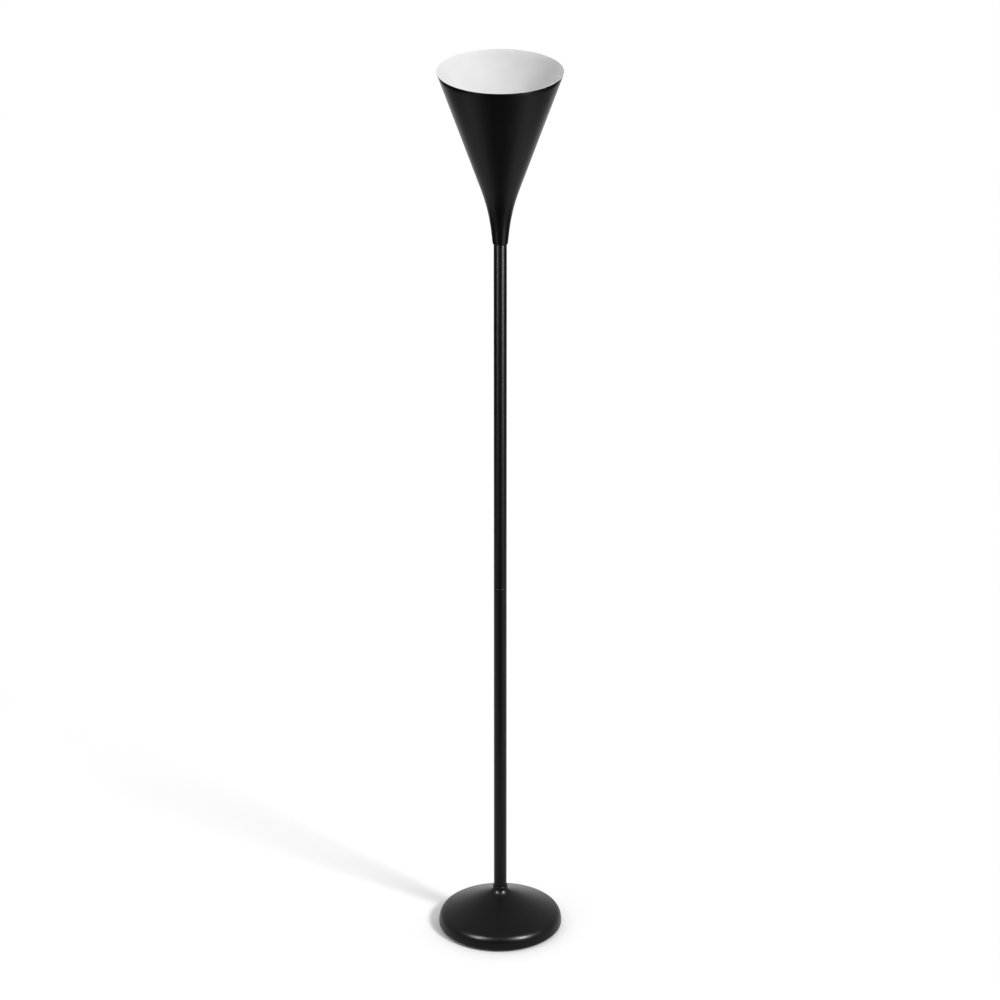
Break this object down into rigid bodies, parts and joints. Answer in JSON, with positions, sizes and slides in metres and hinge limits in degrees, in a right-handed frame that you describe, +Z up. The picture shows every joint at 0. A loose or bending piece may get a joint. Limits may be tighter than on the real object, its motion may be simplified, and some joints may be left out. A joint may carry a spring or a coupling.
{
  "type": "torchiere floor lamp",
  "caption": "Torchiere floor lamp: slim round pole on a weighted round base, with an upturned trumpet-shaped cone shade, black outside and white inside, over a screw-in bulb.",
  "frame": {"origin": "on the floor, under the middle of the round base", "axes": "+Z up along the pole and the shade's axis; -Y is the front; +Y is the back, where the cord gland is"},
  "size_m": [0.242, 0.2418, 1.8],
  "materials": {
    "foam_pad": "closed-cell foam, matt",
    "cover_paint": "spun steel, satin black powder coat",
    "pole_paint": "drawn steel tube, satin black powder coat",
    "shade_paint": "spun steel, fine matt black outside, satin white inside and on the rim",
    "cast_iron": "as cast, dark primer",
    "zinc_steel": "bright zinc plated",
    "brass": "rolled and pressed",
    "nickel": "nickel plated, satin",
    "solder": "soldered, dull",
    "nylon": "moulded nylon",
    "phenolic": "pressed phenolic, semi-gloss",
    "terminal_plastic": "moulded polyamide",
    "lead_pvc": "extruded PVC sheath",
    "core_black": "extruded PVC core",
    "core_white": "extruded PVC core",
    "diffuser": "opal polycarbonate",
    "housing_plastic": "moulded white plastic over aluminium",
    "led_board": "white solder mask on aluminium",
    "driver_board": "green solder mask on glass epoxy",
    "cap_glass": "black vitrite glass"
  },
  "bodies": {
    "stand": {"base_pad": "foam_pad", "base_cover": "cover_paint", "cover_bridge_plate": "zinc_steel", "base_weight": "cast_iron", "spacer_tube": "zinc_steel", "base_nipple": "zinc_steel", "flat_washer": "zinc_steel", "lock_washer": "zinc_steel", "base_nut": "zinc_steel", "cord_gland": "nylon", "connector_block": "terminal_plastic", "connector_screw_live": "nickel", "connector_screw_neutral": "nickel", "block_fixing_screw": "zinc_steel", "block_core_live": "core_black", "block_core_neutral": "core_white", "inner_lead": "lead_pvc", "lower_pole_tube": "pole_paint", "lower_bottom_insert": "zinc_steel", "joint_socket": "zinc_steel", "joint_stud": "zinc_steel", "upper_pole_tube": "pole_paint", "upper_top_insert": "zinc_steel", "shade": "shade_paint", "shade_washer": "zinc_steel", "shade_nipple": "zinc_steel", "riser_tube": "zinc_steel", "lampholder_cap": "phenolic", "lampholder_nut": "zinc_steel", "lampholder_insulator": "phenolic", "lampholder_skirt": "phenolic", "lampholder_screw_shell": "brass", "lampholder_contact": "brass", "terminal_screw_live": "brass", "terminal_screw_neutral": "brass", "holder_core_live": "core_black", "holder_core_neutral": "core_white"},
    "bulb_glass": {"bulb_globe": "diffuser"},
    "bulb_body": {"bulb_cap_shell": "nickel", "bulb_housing": "housing_plastic", "led_board": "led_board", "driver_board": "driver_board", "bulb_cap_insulator": "cap_glass", "bulb_contact_tip": "solder"}
  },
  "joints": [
    {"name": "bulb_rise", "type": "slide", "parent": "stand", "child": "bulb_glass", "axis": [0, 0, 1], "range_m": [0, 0.01816]},
    {"name": "bulb_turn", "type": "hinge", "parent": "bulb_glass", "child": "bulb_body", "pos_m": [0, 0, 1.5353], "axis": [0, 0, 1], "range_deg": [0, 1800]}
  ],
  "couplings": [
    {"joint": "bulb_rise", "follows": "bulb_turn", "m_per_rad": 0.00057757}
  ]
}
